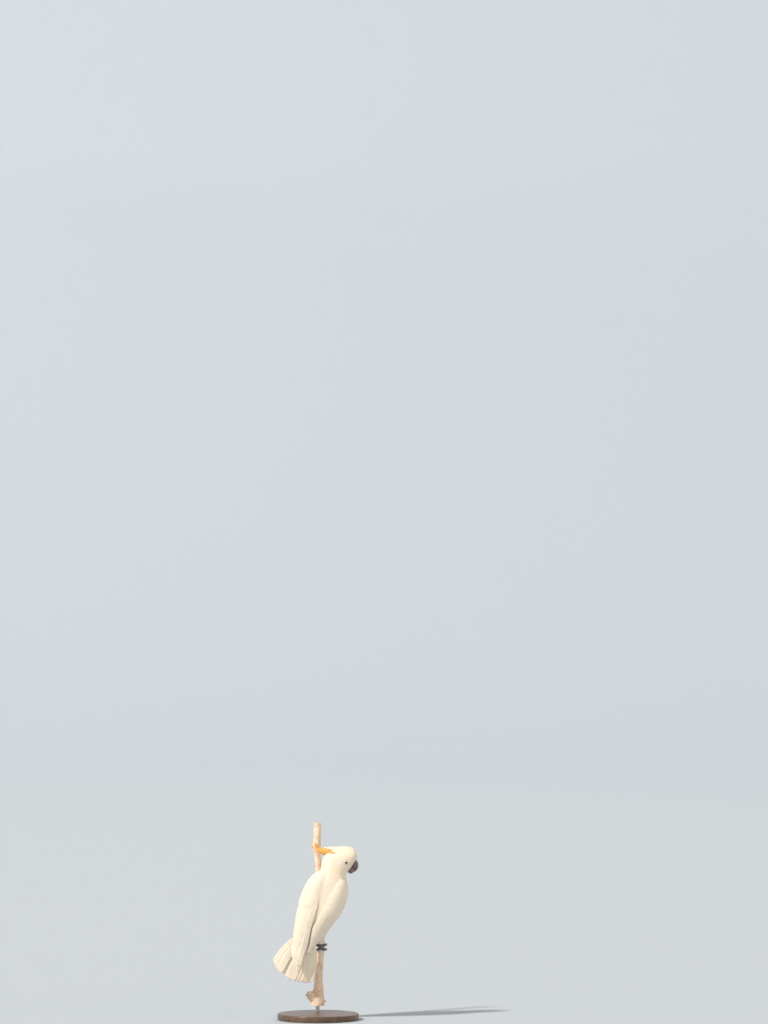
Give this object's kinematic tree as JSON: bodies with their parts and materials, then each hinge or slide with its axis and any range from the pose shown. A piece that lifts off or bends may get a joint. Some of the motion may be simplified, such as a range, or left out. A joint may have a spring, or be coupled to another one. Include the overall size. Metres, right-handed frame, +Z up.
{
  "type": "cockatoo model",
  "caption": "White cockatoo with a swept-back orange crest and hooked dark bill, clinging to an upright dead stem on a round display base.",
  "frame": {"origin": "centre of the display base's flat underside", "axes": "+Z up, -Y the way the bird's belly faces, +X the bird's left; the head is turned so that the bill points to -X"},
  "size_m": [0.185, 0.176, 0.424],
  "materials": {
    "white_feather": "soft cream-white feathers",
    "crest_feather": "soft orange feathers under white ones",
    "bill": "dark grey horn with a dull sheen",
    "eye": "wet dark brown",
    "foot_skin": "dark grey scaly skin",
    "claw": "blackish horn",
    "bark": "dry pinkish-brown bark",
    "stand_wood": "dark stained, satin",
    "stand_metal": "satin"
  },
  "bodies": {
    "root": {"stand_base": "stand_wood", "stand_rod": "stand_metal", "perch": "bark", "trunk": "white_feather", "neck": "white_feather", "head": "white_feather", "crest": "crest_feather", "eye_left": "eye", "eye_right": "eye", "bill_upper": "bill", "bill_lower": "bill", "wing_left": "white_feather", "wing_right": "white_feather", "primaries_left": "white_feather", "primaries_right": "white_feather", "tail": "white_feather", "thigh_left": "white_feather", "thigh_right": "white_feather", "foot_left": "foot_skin", "foot_right": "foot_skin", "claw_left_1": "claw", "claw_left_2": "claw", "claw_left_3": "claw", "claw_left_4": "claw", "claw_right_1": "claw", "claw_right_2": "claw", "claw_right_3": "claw", "claw_right_4": "claw"}
  },
  "joints": []
}
